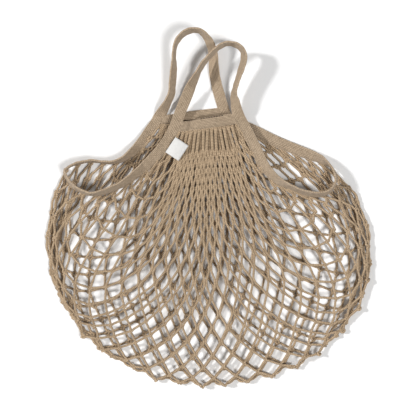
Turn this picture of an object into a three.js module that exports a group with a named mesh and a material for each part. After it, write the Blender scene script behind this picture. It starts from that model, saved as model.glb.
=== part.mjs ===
// A knitted string shopping bag of unbleached cotton, lying on its back with its handles up the page.
// One net sheet runs from the front header down, round the bottom fold and up to the back header.
// One tape binds its two side edges and carries on, past the headers, as the two handles.
// Millimetres, +Z up from the surface that it lies on. +Y runs from the bottom fold to the handles.

import * as THREE from 'three';

// The spread of the bag as it lies
const NET_WIDTH = 398;
const NET_DROP = 324;
const HANDLE_RISE = 110;
const HEADER_SPAN = 78;
const LOFT = 20;
const PUFF = 8;
const FOLD_THICK = 9;

// The woven tape, and the room left where two pieces are sewn together or the net is bound in
const TAPE_WIDTH = 13.6;
const TAPE_THICK = 2.6;
const TAPE_BEVEL = 0.8;
const SEAM_GAP = 0.3;
const NET_GAP = 0.8;

// The net: its meshes are built coarse, so each bar stands for a bundle of cords
const COLUMNS = 18;
const ROWS = 12;
const BORDER_STEPS = 4;
const BUNDLE_WIDTH = 8;
const BUNDLE_THICK = 3;
const BUNDLE_EDGE = 1.8;
const BORDER_PULL = 0.35;
const LEAVE_SLOPE = 0.9;
const LEAVE_COLUMNS = 5;

// The label, and how far it reaches over the tape
const LABEL_LONG = 22;
const LABEL_SHORT = 19;
const LABEL_THICK = 0.8;
const LABEL_ON_TAPE = 2;
const LABEL_FROM_HEADER = 23;

// Stations along each handle
const HANDLE_STATIONS = 34;

const COTTON = { color: 0xb9a285, roughness: 0.9, metalness: 0 };
const COTTON_SHADE = { color: 0xa89072, roughness: 0.9, metalness: 0 };
const LABEL_WHITE = { color: 0xf1eeea, roughness: 0.8, metalness: 0 };

// The left binding, from the front header corner round the side mouth to the back.
// reach: out from the header's end, as a share of the way to the net's widest point.
// drop: down from the front header, as a share of NET_DROP.
// lift: the tape's lower edge above the surface, as a share of LOFT.
// bearing and dip: degrees, the way from the tape's middle to the edge that holds the net.
const LEFT_BINDING = [
  { reach: 0.002, drop: 0.017, lift: 0.43, bearing: -22, dip: 0 },
  { reach: 0.034, drop: 0.051, lift: 0.45, bearing: -27, dip: 2 },
  { reach: 0.089, drop: 0.095, lift: 0.54, bearing: -35, dip: 8 },
  { reach: 0.168, drop: 0.141, lift: 0.63, bearing: -42, dip: 20 },
  { reach: 0.252, drop: 0.182, lift: 0.7, bearing: -48, dip: 35 },
  { reach: 0.336, drop: 0.216, lift: 0.77, bearing: -53, dip: 50 },
  { reach: 0.427, drop: 0.244, lift: 0.82, bearing: -62, dip: 62 },
  { reach: 0.534, drop: 0.267, lift: 0.85, bearing: -78, dip: 66 },
  { reach: 0.641, drop: 0.274, lift: 0.8, bearing: -92, dip: 74 },
  { reach: 0.74, drop: 0.254, lift: 0.65, bearing: -115, dip: 74 },
  { reach: 0.809, drop: 0.224, lift: 0.47, bearing: -135, dip: 74 },
  { reach: 0.84, drop: 0.19, lift: 0.32, bearing: -170, dip: 78 },
  { reach: 0.794, drop: 0.17, lift: 0.2, bearing: -170, dip: 88 },
  { reach: 0.718, drop: 0.156, lift: 0.1, bearing: -90, dip: 84 },
  { reach: 0.638, drop: 0.151, lift: 0.06, bearing: -90, dip: 80 },
  { reach: 0.565, drop: 0.153, lift: 0.05, bearing: -92, dip: 84 },
  { reach: 0.492, drop: 0.155, lift: 0.04, bearing: -95, dip: 82 },
  { reach: 0.416, drop: 0.148, lift: 0.02, bearing: -80, dip: 72 },
  { reach: 0.344, drop: 0.123, lift: 0.01, bearing: -60, dip: 48 },
  { reach: 0.267, drop: 0.085, lift: 0, bearing: -48, dip: 25 },
  { reach: 0.191, drop: 0.032, lift: 0, bearing: -38, dip: 10 },
  { reach: 0.15, drop: 0.003, lift: 0, bearing: -33, dip: 0 },
];
const LEFT_END_ROW = 11;

// The back handle, from the back header's left corner over the crown to its right corner.
// across: from the header's middle, as a share of half of HEADER_SPAN.
// rise: up from the front header, as a share of HANDLE_RISE. The rest as above, to the inner edge.
const BACK_HANDLE = [
  { across: -1.54, rise: 0.041, lift: 0, bearing: -32, dip: 0 },
  { across: -1.38, rise: 0.131, lift: 0.02, bearing: -30, dip: 38 },
  { across: -1.25, rise: 0.206, lift: 0.08, bearing: -25, dip: 55 },
  { across: -1.144, rise: 0.289, lift: 0.18, bearing: -12, dip: 60 },
  { across: -1.1, rise: 0.389, lift: 0.3, bearing: -5, dip: 58 },
  { across: -1.072, rise: 0.5, lift: 0.45, bearing: -3, dip: 56 },
  { across: -1.063, rise: 0.611, lift: 0.6, bearing: -2, dip: 66 },
  { across: -1.041, rise: 0.722, lift: 0.75, bearing: -5, dip: 80 },
  { across: -0.991, rise: 0.817, lift: 0.88, bearing: -15, dip: 76 },
  { across: -0.875, rise: 0.889, lift: 0.95, bearing: -35, dip: 70 },
  { across: -0.688, rise: 0.941, lift: 1, bearing: -60, dip: 68 },
  { across: -0.453, rise: 0.971, lift: 1, bearing: -82, dip: 74 },
  { across: -0.234, rise: 0.962, lift: 0.92, bearing: -110, dip: 76 },
  { across: -0.047, rise: 0.9, lift: 0.7, bearing: -140, dip: 64 },
  { across: 0.088, rise: 0.817, lift: 0.45, bearing: -155, dip: 54 },
  { across: 0.166, rise: 0.722, lift: 0.22, bearing: -168, dip: 42 },
  { across: 0.175, rise: 0.622, lift: 0.12, bearing: -178, dip: 30 },
  { across: 0.213, rise: 0.5, lift: 0.07, bearing: -174, dip: 25 },
  { across: 0.281, rise: 0.378, lift: 0.04, bearing: -166, dip: 20 },
  { across: 0.381, rise: 0.261, lift: 0.01, bearing: -163, dip: 12 },
  { across: 0.447, rise: 0.183, lift: 0, bearing: -161, dip: 3 },
];

// The right binding, from the back header corner round the side mouth to the front
const RIGHT_BINDING = [
  { reach: -0.12, drop: -0.037, lift: 0, bearing: -158, dip: 0 },
  { reach: -0.099, drop: -0.014, lift: 0, bearing: -148, dip: 0 },
  { reach: -0.056, drop: 0.001, lift: 0, bearing: -136, dip: 0 },
  { reach: 0.023, drop: 0.017, lift: 0, bearing: -118, dip: 4 },
  { reach: 0.122, drop: 0.039, lift: 0.02, bearing: -114, dip: 8 },
  { reach: 0.229, drop: 0.066, lift: 0.05, bearing: -114, dip: 10 },
  { reach: 0.336, drop: 0.09, lift: 0.08, bearing: -112, dip: 12 },
  { reach: 0.443, drop: 0.111, lift: 0.1, bearing: -110, dip: 18 },
  { reach: 0.542, drop: 0.13, lift: 0.14, bearing: -108, dip: 34 },
  { reach: 0.622, drop: 0.149, lift: 0.2, bearing: -108, dip: 58 },
  { reach: 0.676, drop: 0.169, lift: 0.27, bearing: -110, dip: 84 },
  { reach: 0.712, drop: 0.195, lift: 0.36, bearing: 0, dip: 78 },
  { reach: 0.72, drop: 0.226, lift: 0.48, bearing: -5, dip: 76 },
  { reach: 0.691, drop: 0.254, lift: 0.6, bearing: -40, dip: 74 },
  { reach: 0.626, drop: 0.273, lift: 0.7, bearing: -70, dip: 68 },
  { reach: 0.542, drop: 0.276, lift: 0.76, bearing: -95, dip: 68 },
  { reach: 0.458, drop: 0.266, lift: 0.8, bearing: -105, dip: 70 },
  { reach: 0.374, drop: 0.249, lift: 0.8, bearing: -112, dip: 68 },
  { reach: 0.29, drop: 0.226, lift: 0.76, bearing: -124, dip: 54 },
  { reach: 0.225, drop: 0.199, lift: 0.7, bearing: -132, dip: 42 },
  { reach: 0.174, drop: 0.165, lift: 0.64, bearing: -142, dip: 28 },
  { reach: 0.134, drop: 0.122, lift: 0.58, bearing: -152, dip: 20 },
  { reach: 0.095, drop: 0.083, lift: 0.53, bearing: -154, dip: 10 },
  { reach: 0.053, drop: 0.041, lift: 0.48, bearing: -153, dip: 4 },
  { reach: 0.019, drop: 0.011, lift: 0.45, bearing: -152, dip: 0 },
];
const RIGHT_END_ROW = 11;

// The front handle, from the front header's right corner over the crown to its left corner
const FRONT_HANDLE = [
  { across: 0.97, rise: 0.041, lift: 0.43, bearing: -153, dip: 0 },
  { across: 0.884, rise: 0.128, lift: 0.43, bearing: -165, dip: 22 },
  { across: 0.844, rise: 0.2, lift: 0.45, bearing: -172, dip: 42 },
  { across: 0.806, rise: 0.272, lift: 0.5, bearing: 180, dip: 62 },
  { across: 0.838, rise: 0.357, lift: 0.58, bearing: 172, dip: 70 },
  { across: 0.944, rise: 0.484, lift: 0.68, bearing: 163, dip: 64 },
  { across: 1.041, rise: 0.567, lift: 0.76, bearing: 162, dip: 58 },
  { across: 1.103, rise: 0.65, lift: 0.84, bearing: 172, dip: 60 },
  { across: 1.078, rise: 0.736, lift: 0.92, bearing: -162, dip: 70 },
  { across: 0.906, rise: 0.8, lift: 0.98, bearing: -120, dip: 76 },
  { across: 0.625, rise: 0.822, lift: 1, bearing: -89, dip: 76 },
  { across: 0.359, rise: 0.789, lift: 0.98, bearing: -62, dip: 74 },
  { across: 0.125, rise: 0.722, lift: 0.92, bearing: -48, dip: 73 },
  { across: -0.109, rise: 0.628, lift: 0.8, bearing: -38, dip: 73 },
  { across: -0.3, rise: 0.522, lift: 0.7, bearing: -30, dip: 70 },
  { across: -0.438, rise: 0.433, lift: 0.62, bearing: -27, dip: 48 },
  { across: -0.563, rise: 0.344, lift: 0.56, bearing: -25, dip: 28 },
  { across: -0.703, rise: 0.228, lift: 0.5, bearing: -24, dip: 14 },
  { across: -0.844, rise: 0.106, lift: 0.45, bearing: -23, dip: 4 },
];

// The bottom fold between the two mouths' outer ends, which close it at both sides.
// across: share of half of NET_WIDTH. drop: share of NET_DROP. chain: share of the net's columns,
// which run close together at the bottom and spread wide at the sides.
const FOLD = [
  { across: -0.939, drop: 0.222, chain: 0.02 },
  { across: -0.982, drop: 0.289, chain: 0.047 },
  { across: -1, drop: 0.372, chain: 0.079 },
  { across: -0.994, drop: 0.47, chain: 0.116 },
  { across: -0.939, drop: 0.583, chain: 0.161 },
  { across: -0.847, drop: 0.703, chain: 0.211 },
  { across: -0.712, drop: 0.816, chain: 0.264 },
  { across: -0.528, drop: 0.91, chain: 0.323 },
  { across: -0.307, drop: 0.974, chain: 0.388 },
  { across: -0.11, drop: 0.996, chain: 0.451 },
  { across: 0.025, drop: 1, chain: 0.498 },
  { across: 0.196, drop: 0.989, chain: 0.557 },
  { across: 0.368, drop: 0.966, chain: 0.611 },
  { across: 0.552, drop: 0.921, chain: 0.665 },
  { across: 0.699, drop: 0.846, chain: 0.712 },
  { across: 0.828, drop: 0.756, chain: 0.758 },
  { across: 0.914, drop: 0.665, chain: 0.797 },
  { across: 0.969, drop: 0.56, chain: 0.839 },
  { across: 1, drop: 0.462, chain: 0.877 },
  { across: 0.988, drop: 0.365, chain: 0.914 },
  { across: 0.933, drop: 0.274, chain: 0.951 },
  { across: 0.853, drop: 0.218, chain: 0.979 },
];

// How far down a layer each row of knots lies, from the header at 0 to the fold at 1
const ROW_SHARES = [0, 0.22, 0.43, 0.63, 0.81, 0.965, 1];

const UP = new THREE.Vector3(0, 0, 1);
const rad = THREE.MathUtils.degToRad;

// A table row of the tape's route as its middle point and the way to its net edge
function routeRow(x, y, row) {
  const dip = rad(row.dip);
  const bearing = rad(row.bearing);
  const low = row.lift * LOFT;
  const middle = low + (TAPE_WIDTH / 2) * Math.sin(dip) + (TAPE_THICK / 2) * Math.cos(dip);
  return {
    point: new THREE.Vector3(x, y, middle),
    side: new THREE.Vector3(
      Math.cos(dip) * Math.cos(bearing),
      Math.cos(dip) * Math.sin(bearing),
      -Math.sin(dip),
    ),
  };
}

function bindingRows(table, hand) {
  const sideReach = (NET_WIDTH - HEADER_SPAN) / 2;
  return table.map((row) => {
    const x = hand * (HEADER_SPAN / 2 + row.reach * sideReach);
    return routeRow(x, -row.drop * NET_DROP, row);
  });
}

function handleRows(table) {
  return table.map((row) => {
    return routeRow((row.across * HEADER_SPAN) / 2, row.rise * HANDLE_RISE, row);
  });
}

// The whole tape as one closed route: left binding, back handle, right binding, front handle
const runs = [
  bindingRows(LEFT_BINDING, -1),
  handleRows(BACK_HANDLE),
  bindingRows(RIGHT_BINDING, 1),
  handleRows(FRONT_HANDLE),
];
const routeRows = runs.flat();
const middleLine = new THREE.CatmullRomCurve3(routeRows.map((row) => row.point), true);
const sideLine = new THREE.CatmullRomCurve3(routeRows.map((row) => row.side), true);
middleLine.arcLengthDivisions = routeRows.length * 40;
const arcLengths = middleLine.getLengths();
const tapeLength = arcLengths[arcLengths.length - 1];

// The distance along the tape at a table row, counted over all four tables
function arcAtRow(index) {
  return arcLengths[Math.round((index / routeRows.length) * (arcLengths.length - 1))];
}

const backLeft = runs[0].length;
const backRight = backLeft + runs[1].length;
const frontRight = backRight + runs[2].length;
const corner = {
  frontLeft: 0,
  backLeft: arcAtRow(backLeft),
  backRight: arcAtRow(backRight),
  frontRight: arcAtRow(frontRight),
};

// Where the tape is and how it is turned, at a distance along it
function tapeAt(arc) {
  const t = middleLine.getUtoTmapping(0, THREE.MathUtils.euclideanModulo(arc, tapeLength));
  const along = middleLine.getTangent(t);
  const side = sideLine.getPoint(t);
  side.addScaledVector(along, -side.dot(along)).normalize();
  const face = new THREE.Vector3().crossVectors(along, side);
  return { point: middleLine.getPoint(t), side, face };
}

// The line clear of the tape's net edge by a gap
function besideTape(arc, gap) {
  const { point, side, face } = tapeAt(arc);
  return { point: point.addScaledVector(side, TAPE_WIDTH / 2 + gap), side, face };
}

// Triangles between rings of points of equal count, closed by a fan at each end
function lofted(rings) {
  const count = rings[0].length;
  const positions = rings.flat().flatMap((p) => [p.x, p.y, p.z]);
  const indices = [];
  for (let ring = 0; ring + 1 < rings.length; ring += 1) {
    for (let k = 0; k < count; k += 1) {
      const a = ring * count + k;
      const b = ring * count + ((k + 1) % count);
      indices.push(a, b, a + count, b, b + count, a + count);
    }
  }
  const last = (rings.length - 1) * count;
  for (let k = 1; k + 1 < count; k += 1) {
    indices.push(0, k + 1, k);
    indices.push(last, last + k, last + k + 1);
  }
  return solidFrom(positions, indices);
}

// A geometry with its faces turned outwards
function solidFrom(positions, indices) {
  let volume = 0;
  const corners = [0, 1, 2].map(() => new THREE.Vector3());
  for (let k = 0; k < indices.length; k += 3) {
    corners.forEach((v, n) => v.fromArray(positions, indices[k + n] * 3));
    volume += corners[0].dot(corners[1].clone().cross(corners[2]));
  }
  const turned = [...indices];
  if (volume < 0) turned.reverse();
  const geometry = new THREE.BufferGeometry();
  geometry.setAttribute('position', new THREE.Float32BufferAttribute(positions, 3));
  geometry.setIndex(turned);
  geometry.computeVertexNormals();
  return geometry;
}

// The tape's section with its four long edges bevelled, as steps to the side and off the face
const SECTION = [
  [1, 1], [-1, 1], [-1, -1], [1, -1],
].flatMap(([s, f]) => {
  const flat = [s * (TAPE_WIDTH / 2 - TAPE_BEVEL), (f * TAPE_THICK) / 2];
  const edge = [(s * TAPE_WIDTH) / 2, f * (TAPE_THICK / 2 - TAPE_BEVEL)];
  return s * f > 0 ? [edge, flat] : [flat, edge];
});

// One cross-section of tape, pressed flat where it would go below the surface
function tapeRing({ point, side, face }) {
  return SECTION.map(([s, f]) => {
    const p = point.clone().addScaledVector(side, s).addScaledVector(face, f);
    return p.setZ(Math.max(0, p.z));
  });
}

function evenly(from, to, steps) {
  return Array.from({ length: steps + 1 }, (_, k) => from + ((to - from) * k) / steps);
}

// A header is as wide as the tape. It meets the net at this distance past the corner.
const HEADER_HALF = TAPE_WIDTH / 2;
const HEADER_CLEAR = HEADER_HALF + 1.5 * SEAM_GAP;

// The net's border distances along a binding, from the front header to the back one
function borderArcs(front, end, back) {
  const steps = (ROWS / 2) * BORDER_STEPS;
  const toBack = Math.sign(back - front) * HEADER_CLEAR;
  return [...evenly(front + toBack, end, steps), ...evenly(end, back - toBack, steps).slice(1)];
}

const leftArcs = borderArcs(corner.frontLeft, arcAtRow(LEFT_END_ROW), corner.backLeft);
const rightArcs = borderArcs(corner.frontRight, arcAtRow(backRight + RIGHT_END_ROW), corner.backRight);

function tapePiece(arcs) {
  return lofted(arcs.map((arc) => tapeRing(tapeAt(arc))));
}

// A binding keeps its stations where the net's border has its points
function binding(arcs, from, to) {
  const trim = (Math.sign(to - from) * SEAM_GAP) / 2;
  return tapePiece([from + trim, ...arcs, to - trim]);
}

function handle(from, to) {
  return tapePiece(evenly(from + SEAM_GAP / 2, to - SEAM_GAP / 2, HANDLE_STATIONS));
}

// A header fills the room between the two tapes that pass its ends, from the handles' side of the
// corners to the bindings' side. A header at rest on the surface lies flat on it.
function header(leftCorner, rightCorner, leftUp, rests) {
  const end = (arc, up) => {
    const upper = besideTape(arc + up * HEADER_HALF, SEAM_GAP).point;
    const lower = besideTape(arc - up * HEADER_HALF, SEAM_GAP).point;
    const middle = upper.clone().add(lower).multiplyScalar(0.5);
    const { side } = tapeAt(arc);
    middle.addScaledVector(side, besideTape(arc, SEAM_GAP).point.sub(middle).dot(side));
    if (rests) [upper, lower, middle].forEach((p) => p.setZ(TAPE_THICK / 2));
    return { middle, half: upper.sub(lower).multiplyScalar(0.5) };
  };
  const rings = [end(leftCorner, leftUp), end(rightCorner, -leftUp)].map(({ middle, half }) => {
    return SECTION.map(([s, f]) => {
      const p = middle.clone().addScaledVector(half, (2 * s) / TAPE_WIDTH);
      return p.addScaledVector(UP, f);
    });
  });
  return lofted(rings);
}

// The fold as a curve over the net's columns, closed by the two mouths' outer ends
function foldLine(leftEnd, rightEnd) {
  const between = FOLD.map((row) => {
    return new THREE.Vector3((row.across * NET_WIDTH) / 2, -row.drop * NET_DROP, FOLD_THICK / 2);
  });
  const line = new THREE.CatmullRomCurve3([leftEnd, ...between, rightEnd]);
  const chains = [0, ...FOLD.map((row) => row.chain), 1];
  return (share) => {
    const k = Math.min(chains.length - 2, chains.findLastIndex((chain) => chain <= share));
    const within = (share - chains[k]) / (chains[k + 1] - chains[k]);
    return line.getPoint((k + within) / (chains.length - 1));
  };
}

// The sheet's grid of points, column by column from left to right, row by row from the front
// header to the back one. The borders lie along the tapes and the fold row along the fold.
const FOLD_ROW = ROWS / 2;
const rowShare = (j) => (j <= FOLD_ROW ? ROW_SHARES[j] : 2 - ROW_SHARES[ROWS - j]);
const grid = [];
const leftBorder = leftArcs.map((arc) => besideTape(arc, NET_GAP));
const rightBorder = rightArcs.map((arc) => besideTape(arc, NET_GAP));
const foldAt = foldLine(
  leftBorder[FOLD_ROW * BORDER_STEPS].point,
  rightBorder[FOLD_ROW * BORDER_STEPS].point,
);
// A layer hangs straight from its header to the fold line's ends, and is drawn down to the fold
// and, near a tape, towards that tape's bend
function layerPoint(i, j) {
  const across = i / COLUMNS;
  const header = j <= FOLD_ROW ? 0 : ROWS;
  const along = Math.abs(j - header) / FOLD_ROW;
  const straight = (border) => {
    const start = border[header * BORDER_STEPS].point.clone();
    return start.lerp(border[FOLD_ROW * BORDER_STEPS].point, along);
  };
  const bend = (border) => border[j * BORDER_STEPS].point.clone().sub(straight(border));
  const pull = (off) => Math.exp(-((off / BORDER_PULL) ** 2));
  const foldEnds = leftBorder[FOLD_ROW * BORDER_STEPS].point.clone();
  foldEnds.lerp(rightBorder[FOLD_ROW * BORDER_STEPS].point, across);
  const point = straight(leftBorder).lerp(straight(rightBorder), across);
  point.addScaledVector(foldAt(across).sub(foldEnds), 1 - Math.abs(1 - rowShare(j)));
  point.addScaledVector(bend(leftBorder), pull(across));
  return point.addScaledVector(bend(rightBorder), pull(1 - across));
}

// The columns next to a tape are led away from it, so that the net leaves the tape's edge
function ledAway(point, edge, columnsOff) {
  const away = edge.side.clone().setZ(0);
  const out = point.clone().sub(edge.point).setZ(0);
  const wanted = LEAVE_SLOPE * out.length() * away.length();
  const fading = Math.max(0, 1 - (columnsOff - 1) / LEAVE_COLUMNS);
  return point.addScaledVector(away, Math.max(0, wanted - out.dot(away)) * fading);
}

for (let i = 0; i <= COLUMNS; i += 1) {
  grid.push([]);
  for (let j = 0; j <= ROWS; j += 1) {
    const point = layerPoint(i, j);
    if (i > 0) ledAway(point, leftBorder[j * BORDER_STEPS], i);
    if (i < COLUMNS) ledAway(point, rightBorder[j * BORDER_STEPS], COLUMNS - i);
    grid[i].push(point);
  }
}

// The front layer stands off the back one, which lies on the surface
for (let i = 1; i < COLUMNS; i += 1) {
  for (let j = 1; j < ROWS; j += 1) {
    const swell = Math.sin((Math.PI * i) / COLUMNS) * Math.sin(Math.PI * rowShare(j));
    if (j < FOLD_ROW) grid[i][j].z += PUFF * swell;
    if (j > FOLD_ROW) grid[i][j].z = BUNDLE_THICK / 2;
  }
}

// A grid point as a spot of the sheet: its place and the way that its outer face looks
function spotAt(i, j) {
  if (i === 0) return leftBorderSpot(j * BORDER_STEPS);
  if (i === COLUMNS) return rightBorderSpot(j * BORDER_STEPS);
  const toRight = grid[i + 1][j].clone().sub(grid[i - 1][j]);
  const above = grid[i][Math.max(0, j - 1)];
  const below = grid[i][Math.min(ROWS, j + 1)];
  const outward = toRight.cross(above.clone().sub(below)).normalize();
  return { key: `${i},${j}`, point: grid[i][j], outward };
}

function leftBorderSpot(step) {
  return { key: `left${step}`, point: leftBorder[step].point, outward: leftBorder[step].face };
}

function rightBorderSpot(step) {
  return { key: `right${step}`, point: rightBorder[step].point, outward: rightBorder[step].face };
}

// The middle of a bar, between the four grid points round it
function barMiddle(i, j) {
  const [a, b] = [Math.floor(i), Math.floor(j)];
  const near = [spotAt(a, b), spotAt(a + 1, b), spotAt(a, b + 1), spotAt(a + 1, b + 1)];
  const point = new THREE.Vector3();
  const outward = new THREE.Vector3();
  near.forEach((spot) => {
    point.addScaledVector(spot.point, 0.25);
    outward.add(spot.outward);
  });
  return { key: `${i},${j}`, point, outward: outward.normalize() };
}

// The sheet's border as a loop of spots: up the left edge, along the front header,
// down the right edge and back along the back header
const border = [
  ...evenly(ROWS * BORDER_STEPS, 0, ROWS * BORDER_STEPS).map(leftBorderSpot),
  ...evenly(1, COLUMNS - 1, COLUMNS - 2).map((i) => spotAt(i, 0)),
  ...evenly(0, ROWS * BORDER_STEPS, ROWS * BORDER_STEPS).map(rightBorderSpot),
  ...evenly(COLUMNS - 1, 1, COLUMNS - 2).map((i) => spotAt(i, ROWS)),
];

function borderBetween(from, to) {
  const start = border.findIndex((spot) => spot.key === from.key);
  const path = [];
  for (let k = 1; border[(start + k) % border.length].key !== to.key; k += 1) {
    path.push(border[(start + k) % border.length]);
  }
  return path;
}

// One mesh of the net round a grid point: knots above, right, below and left, and the bars between.
// At the border a stretch of the border stands in for what lies outside.
const AROUND = [[0, -1], [1, 0], [0, 1], [-1, 0]];

function meshOutline(i, j) {
  const inside = ([di, dj]) => i + di >= 0 && i + di <= COLUMNS && j + dj >= 0 && j + dj <= ROWS;
  const knots = AROUND.filter(inside);
  const outline = [];
  knots.forEach((step, k) => {
    const next = knots[(k + 1) % knots.length];
    const here = spotAt(i + step[0], j + step[1]);
    const there = spotAt(i + next[0], j + next[1]);
    const beside = AROUND[(AROUND.indexOf(step) + 1) % AROUND.length] === next;
    outline.push(here);
    if (beside) outline.push(barMiddle(i + (step[0] + next[0]) / 2, j + (step[1] + next[1]) / 2));
    else outline.push(...borderBetween(here, there));
  });
  return outline;
}

// How much of a mesh stays open: bars keep their width where meshes are wide and thin out
// where they close up
function openShare(outline, centre) {
  let area = 0;
  let round = 0;
  outline.forEach((spot, k) => {
    const a = spot.point.clone().sub(centre);
    const b = outline[(k + 1) % outline.length].point.clone().sub(centre);
    round += a.distanceTo(b);
    area += a.cross(b).length() / 2;
  });
  const inner = (2 * area) / round;
  return inner / (inner + BUNDLE_WIDTH / 2);
}

// The net as one closed sheet with a gap through every mesh, except along the tapes, where the
// meshes are gathered shut. Bars are thick along their middle and thin at the gaps, and pressed
// flat where they would go below the surface.
function netSolid() {
  const positions = [];
  const indices = [];
  const known = new Map();
  const place = (key, point, outward, offset) => {
    if (!known.has(key)) {
      const p = point.clone().addScaledVector(outward, offset);
      known.set(key, positions.length / 3);
      positions.push(p.x, p.y, Math.max(0, p.z));
    }
    return known.get(key);
  };
  const rim = new Set(border.map((spot) => spot.key));
  const halfThick = (key) => (rim.has(key) ? BUNDLE_EDGE : BUNDLE_THICK) / 2;
  const quad = (a, b, c, d) => indices.push(a, b, c, a, c, d);

  for (let i = 0; i <= COLUMNS; i += 1) {
    for (let j = 0; j <= ROWS; j += 1) {
      if ((i + j) % 2 === 0) continue;
      const outline = meshOutline(i, j);
      const outer = outline.map(({ key, point, outward }) => [1, -1].map((face) => {
        return place(`${key}/${face}`, point, outward, face * halfThick(key));
      }));
      const count = outline.length;
      if (i === 0 || i === COLUMNS) {
        const inward = i === 0 ? `1,${j}` : `${COLUMNS - 1},${j}`;
        const apex = outline.findIndex(({ key }) => key === inward);
        for (let k = 1; k + 1 < count; k += 1) {
          const [a, b, c] = [apex, apex + k, apex + k + 1].map((n) => outer[n % count]);
          indices.push(a[0], c[0], b[0]);
          indices.push(a[1], b[1], c[1]);
        }
        continue;
      }
      const centre = outline.reduce((sum, spot) => sum.add(spot.point), new THREE.Vector3());
      centre.divideScalar(outline.length);
      const share = openShare(outline, centre);
      const inner = outline.map(({ key, point, outward }) => [1, -1].map((face) => {
        const p = centre.clone().lerp(point, share);
        return place(`${i},${j}:${key}/${face}`, p, outward, (face * BUNDLE_EDGE) / 2);
      }));
      for (let k = 0; k < count; k += 1) {
        const n = (k + 1) % count;
        quad(outer[n][0], outer[k][0], inner[k][0], inner[n][0]);
        quad(outer[k][1], outer[n][1], inner[n][1], inner[k][1]);
        quad(inner[n][0], inner[k][0], inner[k][1], inner[n][1]);
      }
    }
  }
  border.forEach(({ key }, k) => {
    const next = border[(k + 1) % border.length].key;
    const [a, b] = [known.get(`${key}/1`), known.get(`${key}/-1`)];
    const [c, d] = [known.get(`${next}/1`), known.get(`${next}/-1`)];
    quad(a, c, d, b);
  });
  return solidFrom(positions, indices);
}

// The label lies over the tape's net edge and the net in front of it, tilted until it clears both
function labelSolid(netGeometry) {
  const near = tapeAt(corner.frontLeft + LABEL_FROM_HEADER);
  const out = near.side.clone().setZ(0).normalize();
  const along = new THREE.Vector3().crossVectors(UP, out);
  const overTape = TAPE_WIDTH / 2 - LABEL_ON_TAPE;
  const base = near.point.clone().addScaledVector(near.side, overTape);
  const highest = (from, to) => {
    const p = new THREE.Vector3();
    let top = 0;
    const places = netGeometry.getAttribute('position');
    for (let k = 0; k < places.count; k += 1) {
      p.fromBufferAttribute(places, k).sub(base);
      const beyond = p.dot(out);
      const within = Math.abs(p.dot(along)) < LABEL_LONG * 0.75;
      if (within && beyond > from && beyond < to) top = Math.max(top, p.z);
    }
    return top;
  };
  const nearRise = TAPE_THICK + SEAM_GAP;
  const farRise = highest(0, LABEL_SHORT * 1.4) + SEAM_GAP;
  const ring = (step, rise) => [
    [-1, 0], [1, 0], [1, 1], [-1, 1],
  ].map(([l, t]) => {
    const p = base.clone().addScaledVector(out, step).addScaledVector(along, (l * LABEL_LONG) / 2);
    return p.addScaledVector(UP, rise + t * LABEL_THICK);
  });
  return lofted([
    ring(0, nearRise),
    ring(LABEL_SHORT / 2, Math.max(nearRise, farRise)),
    ring(LABEL_SHORT, Math.max(nearRise, farRise)),
  ]);
}

const bag = new THREE.Group();

function add(name, geometry, finish) {
  const mesh = new THREE.Mesh(geometry, new THREE.MeshStandardMaterial(finish));
  mesh.name = name;
  bag.add(mesh);
}

const net = netSolid();
add('net_body', net, COTTON);
add('header_front', header(corner.frontLeft, corner.frontRight, -1, false), COTTON);
add('header_back', header(corner.backLeft, corner.backRight, 1, true), COTTON_SHADE);
add('binding_left', binding(leftArcs, corner.frontLeft, corner.backLeft), COTTON);
add('binding_right', binding([...rightArcs].reverse(), corner.backRight, corner.frontRight), COTTON);
add('handle_front', handle(corner.frontRight, tapeLength), COTTON);
add('handle_back', handle(corner.backLeft, corner.backRight), COTTON_SHADE);
add('label', labelSolid(net), LABEL_WHITE);

// The origin is under the middle of the whole bag
bag.position.y = (NET_DROP - HANDLE_RISE) / 2;

export default bag;
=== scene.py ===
"""A knitted string shopping bag of unbleached cotton, dressed over its solid model.

The fine net is laid out on the same sheet as the model's coarse one, from the front header down,
round the bottom fold and up to the back header, and its bars are then let settle to their real
length. One woven tape binds the two side mouths and carries on as the two handles.
Lengths are in metres, in the model's own frame.
"""

import math

import bpy
import numpy as np
from bpy.props import (
    FloatProperty,
    FloatVectorProperty,
    IntProperty,
    PointerProperty,
)
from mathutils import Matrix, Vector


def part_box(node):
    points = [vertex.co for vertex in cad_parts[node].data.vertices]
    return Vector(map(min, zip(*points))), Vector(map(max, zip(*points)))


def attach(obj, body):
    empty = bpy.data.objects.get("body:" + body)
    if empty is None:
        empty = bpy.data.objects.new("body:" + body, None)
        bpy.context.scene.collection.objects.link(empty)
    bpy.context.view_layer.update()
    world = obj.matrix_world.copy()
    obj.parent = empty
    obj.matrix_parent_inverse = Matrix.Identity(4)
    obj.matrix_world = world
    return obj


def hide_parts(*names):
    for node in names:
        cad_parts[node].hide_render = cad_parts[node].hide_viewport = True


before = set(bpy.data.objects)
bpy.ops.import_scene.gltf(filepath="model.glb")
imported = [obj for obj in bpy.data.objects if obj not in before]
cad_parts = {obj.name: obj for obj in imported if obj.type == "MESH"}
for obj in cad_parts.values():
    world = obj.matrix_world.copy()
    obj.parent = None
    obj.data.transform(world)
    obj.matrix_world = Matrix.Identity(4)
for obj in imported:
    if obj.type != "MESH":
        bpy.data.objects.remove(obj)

bl_info = {
    "name": "String Shopping Bag",
    "version": (1, 0, 0),
    "blender": (4, 5, 0),
    "location": "View3D > Sidebar > Bag",
    "description": "Builds a knitted string shopping bag lying on a pale floor",
    "category": "Add Mesh",
}

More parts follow.
